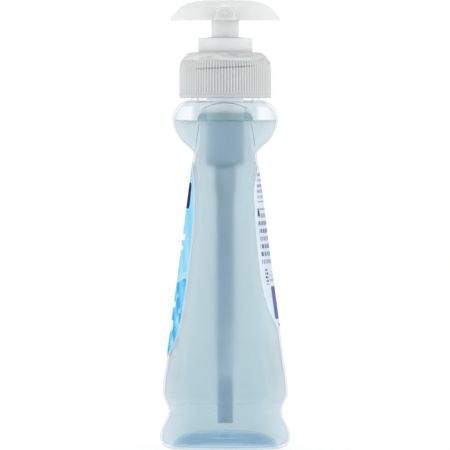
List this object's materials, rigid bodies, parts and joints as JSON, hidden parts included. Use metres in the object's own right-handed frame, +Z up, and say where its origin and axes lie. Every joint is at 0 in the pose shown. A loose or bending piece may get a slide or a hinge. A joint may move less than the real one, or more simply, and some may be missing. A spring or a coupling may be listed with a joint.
{
  "type": "hand soap pump bottle",
  "caption": "Clear blown bottle of liquid hand soap with flared body, shoulder lobes, film labels, ribbed screw cap and a press pump with a domed head.",
  "frame": {"origin": "centre of the base, on the surface the bottle stands on", "axes": "+Z up along the pump, +X towards the nozzle and across the width, +Y through the depth towards the back label"},
  "size_m": [0.076, 0.0496, 0.17],
  "materials": {
    "clear_pet": "blown clear PET, glossy",
    "blue_soap": "clear pale blue liquid",
    "front_film": "printed film, cyan to blue",
    "back_film": "printed film, white with blue marks",
    "cap_polypropylene": "moulded translucent polypropylene",
    "soft_gasket": "soft foamed polyethylene",
    "housing_polypropylene": "moulded natural polypropylene",
    "head_polypropylene": "moulded translucent polypropylene",
    "tube_polyethylene": "extruded translucent polyethylene",
    "valve_steel": "polished stainless ball",
    "inner_polypropylene": "moulded natural polypropylene",
    "piston_polyethylene": "moulded soft polyethylene",
    "spring_steel": "drawn stainless wire",
    "stem_polypropylene": "moulded translucent polypropylene"
  },
  "bodies": {
    "bottle": {"bottle": "clear_pet", "liquid_soap": "blue_soap", "front_label": "front_film", "back_label": "back_film"},
    "pump": {"pump_housing": "housing_polypropylene", "neck_gasket": "soft_gasket", "collar": "head_polypropylene", "dip_tube": "tube_polyethylene", "spring_cage": "inner_polypropylene", "return_spring": "spring_steel"},
    "cap": {"screw_cap": "cap_polypropylene"},
    "plunger": {"piston_seal": "piston_polyethylene", "piston_rod": "inner_polypropylene"},
    "head": {"pump_head": "head_polypropylene", "stem_tube": "stem_polypropylene"},
    "inlet_valve": {"inlet_ball": "valve_steel"},
    "outlet_valve": {"outlet_ball": "valve_steel"}
  },
  "joints": [
    {"name": "pump_lift", "type": "slide", "parent": "bottle", "child": "pump", "axis": [0, 0, 1], "range_m": [0, 0.00465]},
    {"name": "cap_turn", "type": "hinge", "parent": "pump", "child": "cap", "pos_m": [0, 0, 0.1416], "axis": [0, 0, 1], "range_deg": [0, 396]},
    {"name": "press", "type": "slide", "parent": "pump", "child": "plunger", "axis": [0, 0, -1], "range_m": [0, 0.0062], "stiffness_N_per_m": 900, "springref_m": -0.009, "deforming": ["return_spring"]},
    {"name": "head_turn", "type": "hinge", "parent": "plunger", "child": "head", "pos_m": [0, 0, 0.16], "axis": [0, 0, 1], "continuous": true},
    {"name": "inlet_ball_lift", "type": "slide", "parent": "pump", "child": "inlet_valve", "axis": [0, 0, 1], "range_m": [0, 0.0012]},
    {"name": "outlet_ball_lift", "type": "slide", "parent": "head", "child": "outlet_valve", "axis": [0, 0, 1], "range_m": [0, 0.001]}
  ],
  "couplings": [
    {"joint": "cap_turn", "follows": "pump_lift", "rad_per_m": 1485.4}
  ]
}
